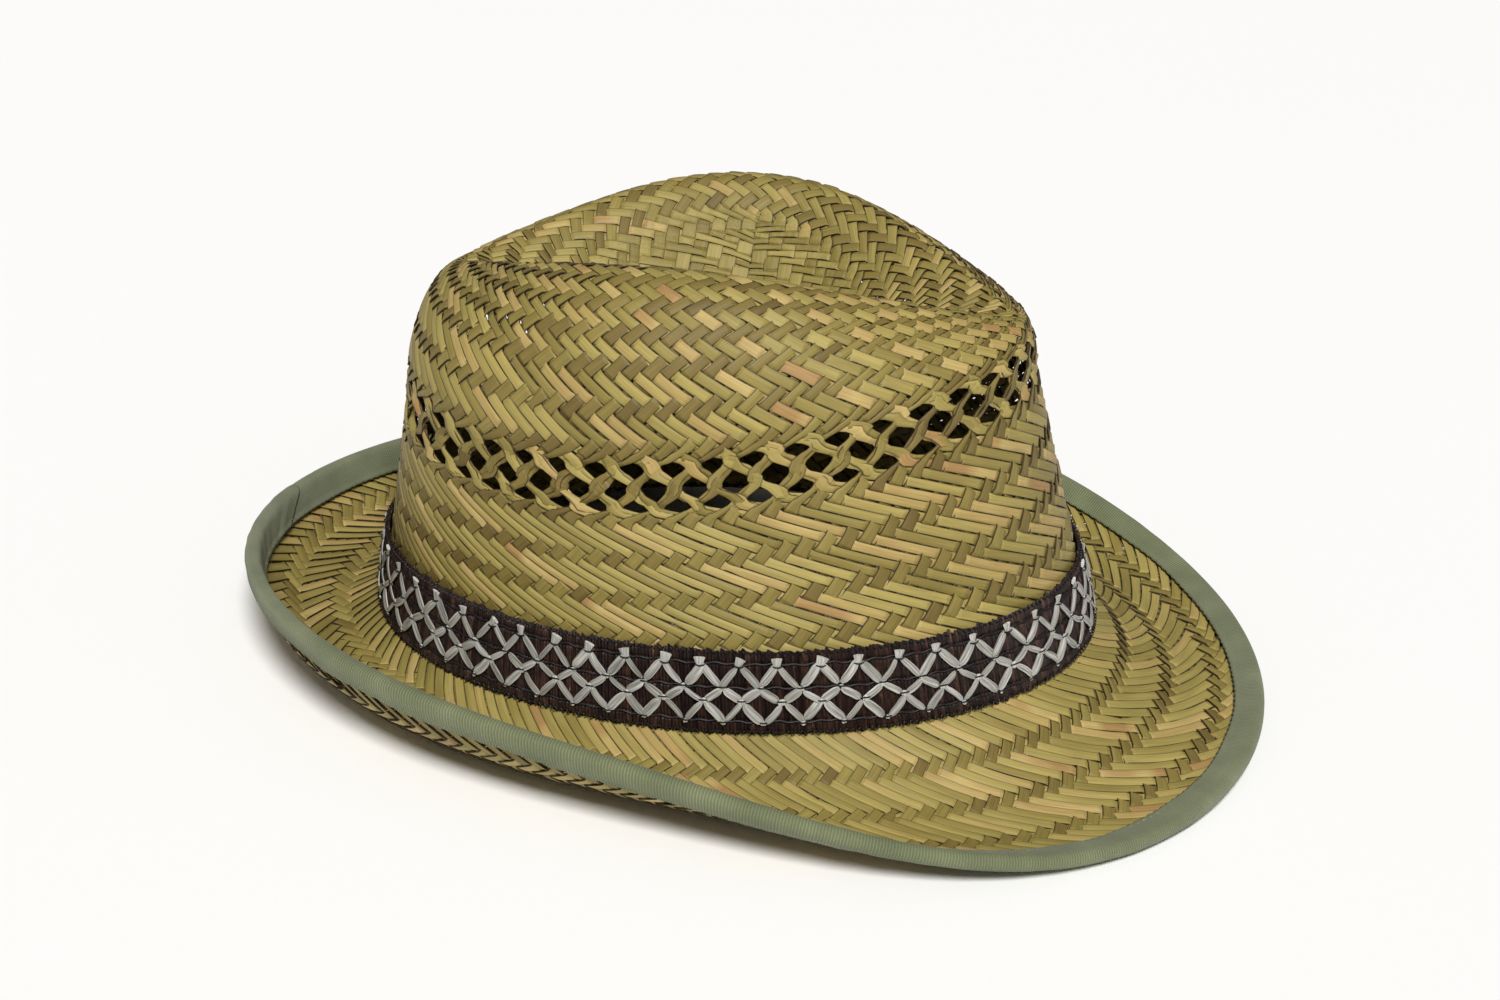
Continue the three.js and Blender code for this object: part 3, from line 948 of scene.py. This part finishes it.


# Cotton tape, woven with fine ribs across it: matt sage green, painted paler on the ribs and darker between them as
# painted light and shade of their relief
def tapeMaterial():
    material, tree, shader = newMaterial("ribbedCottonTape", 0.85)
    across = readLayer(tree, "across")
    run = readLayer(tree, "run")
    phase = addNode(tree, "ShaderNodeMath", {1: turn / tapeLook["rib"]}, {0: run}, operation="MULTIPLY")
    rib = addNode(tree, "ShaderNodeMath", None, {0: phase.outputs[0]}, operation="SINE")
    place = addNode(tree, "ShaderNodeCombineXYZ", None, {"X": run, "Y": across})
    fuzz = addNode(tree, "ShaderNodeTexNoise", {"Scale": 1.6, "Detail": 3.0, "Roughness": 0.7},
                   {"Vector": place.outputs[0]})
    patches = addNode(tree, "ShaderNodeTexNoise", {"Scale": 0.07, "Detail": 2.0},
                      {"Vector": place.outputs[0]})
    # painted light and shade: paler on each rib, darker in the furrow between ribs
    ribLightAndShade = addNode(tree, "ShaderNodeMath", {1: 0.16, 2: 0.16}, {0: rib.outputs[0]},
                     operation="MULTIPLY_ADD")
    fuzzed = addNode(tree, "ShaderNodeMath", {1: 0.35}, {0: fuzz.outputs[0], 2: ribLightAndShade.outputs[0]},
                     operation="MULTIPLY_ADD")
    toned = addNode(tree, "ShaderNodeMath", {1: 0.6}, {0: patches.outputs[0], 2: fuzzed.outputs[0]},
                    operation="MULTIPLY_ADD", use_clamp=True)
    ramp = addNode(tree, "ShaderNodeValToRGB", None, {"Fac": toned.outputs[0]})
    fillRamp(ramp, tapeLook["stops"])
    tree.links.new(ramp.outputs[0], shader.inputs["Base Color"])
    shader.inputs["Sheen Weight"].default_value = 0.1
    ribs = addNode(tree, "ShaderNodeBump", {"Strength": 0.7, "Distance": 0.00012}, {"Height": rib.outputs[0]})
    bump = addNode(tree, "ShaderNodeBump", {"Strength": 0.6, "Distance": 0.0001},
                   {"Height": fuzz.outputs[0], "Normal": ribs.outputs[0]})
    tree.links.new(bump.outputs[0], shader.inputs["Normal"])
    return material


# How far the tape reaches in over the brim and under it: it was sewn on a little askew
def tapeReach(around, height):
    askew = binding["askew"] * np.cos(around - math.radians(binding["widestAt"]))
    return binding["top"] + askew if height > 0 else binding["under"] - askew


def edgePlace(around, back, lift):
    around, back, lift = np.broadcast_arrays(np.asarray(around, float), back, lift)
    width = atStation("width", around)
    places, normals = brimPlace(around, width - back)
    return places + normals * lift[..., None], normals


def makeBinding():
    tape, thread = tapeMaterial(), threadMaterial("sageCottonThread", tapeLook["stitch"])
    count = binding["cells"]
    overlap = math.radians(binding["overlap"])
    outerEnd, innerEnd = (math.radians(degrees) for degrees in binding["end"])
    share = np.linspace(0, 1, count + 1)
    begin = outerEnd - turn - overlap
    wide = np.linspace(begin - 0.2, outerEnd + 0.2, 2000)
    edge = edgePlace(wide, 0, 0)[0]
    edgeRuns = np.concatenate([[0], np.cumsum(np.linalg.norm(np.diff(edge, axis=0), axis=1))])
    wander = slowNoise(count + 1, 18, 0.2)
    ripple = slowNoise(count + 1, 6, 0.06)
    top, under, lift = binding["top"], binding["under"], binding["lift"]
    section = [(top, 1.15), (top - 0.5, 1.45), (top - binding["stitchIn"], 1.3), (top - 2.2, 1.6),
               (top / 2, lift), (2.2, lift), (1.1, lift - 0.15), (0.45, lift - 0.5), (0.1, lift - 1.05), (0.0, 0.0)]
    lower = [(back * under / top if back > 2.3 else back, -height) for back, height in section[:-1]][::-1]
    section = section + lower
    places, runs, across, reach = [], [], [], 0
    for k, (back, height) in enumerate(section):
        edgeShare = max(back / (top if height > 0 else under), 0)
        # both ends are cut on the slant
        nearEnds = smoothStep((share - 0.93) / 0.07) + 1 - smoothStep(share / 0.07)
        slant = (innerEnd - outerEnd) * edgeShare * nearEnds
        around = begin + share * (turn + overlap) + slant
        run = np.interp(around, wide, edgeRuns)
        scallop = binding["scallop"] * (0.5 - 0.5 * np.cos(run / binding["stitch"] * turn)) * edgeShare ** 5
        # the end lies over the beginning
        past = (around - (outerEnd + slant - overlap)) / math.radians(2.5)
        over = binding["over"] * smoothStep(past) * (share > 0.5)
        out = height + (ripple + over * min(1, abs(height))) * (1 if height > 0 else -1)
        reached = (tapeReach(around, height) - (top if height > 0 else under)) * edgeShare
        places.append(edgePlace(around, back + reached + wander * edgeShare ** 2 + scallop, out)[0])
        runs.append(run)
        if k:
            reach += math.dist(section[k - 1], section[k])
        across.append(reach)
    bm, layers = strandMesh()
    addCells(bm, layers, np.array(places), np.array(runs), np.array(across)[:, None], 0.5)
    bmesh.ops.recalc_face_normals(bm, faces=bm.faces)
    piece = addPiece("binding_tape", bm, tape, "brim_binding", binding["thickness"] * mm, -1.0)
    piece.data.shade_smooth()

    # stitches along the inner edge of the tape, over and under
    bm, layers = strandMesh()
    first, last = np.interp([outerEnd - turn, outerEnd], wide, edgeRuns)
    stitches = int((last - first) / binding["stitch"])
    for side in (1, -1):
        for k in range(stitches):
            start = first + (k + 0.12) / stitches * (last - first)
            t = np.linspace(0, 1, 5)
            at = np.interp(start + t * binding["stitch"] * 0.74, edgeRuns, wide)
            bow = np.sin(math.pi * t)
            back = tapeReach(at, side) - binding["stitchIn"]
            back = back + np.interp(at, begin + share * (turn + overlap), wander)
            path, normals = edgePlace(at, back + dice.normal(0, 0.06), side * (1.25 + 0.4 * bow ** 0.6))
            addCord(bm, layers, path, normals * side, 0.22, 4)
    closeSeams(bm)
    stitched = addPiece("binding_stitches", bm, thread)


makeBinding()
print("binding made")


# The floor is plain pale paper
floorLook = {"colour": "#fbfaf8", "half": 6.0}


def layFloor():
    material, tree, shader = newMaterial("palePaper", 0.9)
    shader.inputs["Base Color"].default_value = linearColour(floorLook["colour"])
    bm = bmesh.new()
    bmesh.ops.create_grid(bm, x_segments=2, y_segments=2, size=floorLook["half"])
    mesh = bpy.data.meshes.new("floor")
    bm.to_mesh(mesh)
    bm.free()
    mesh.materials.append(material)
    floor = bpy.data.objects.new("floor", mesh)
    scene.collection.objects.link(floor)


lights = {
    "key": {"from": (-1.18, -0.28, 1.34), "softness": 18, "power": 3.6},  # softness in degrees
    "world": 0.18,
}


def setLights():
    values = lights["key"]
    data = bpy.data.lights.new("key", "SUN")
    data.angle, data.energy = math.radians(values["softness"]), values["power"]
    lamp = bpy.data.objects.new("key", data)
    lamp.location = values["from"]
    lamp.rotation_euler = (-Vector(values["from"])).to_track_quat("-Z", "Y").to_euler()
    scene.collection.objects.link(lamp)
    world = bpy.data.worlds.new("softRoom")
    world.use_nodes = True
    world.node_tree.nodes["Background"].inputs["Color"].default_value = (1, 1, 1, 1)
    world.node_tree.nodes["Background"].inputs["Strength"].default_value = lights["world"]
    scene.world = world
    scene.view_settings.view_transform = "Standard"


layFloor()
setLights()
print("floor and lights set")
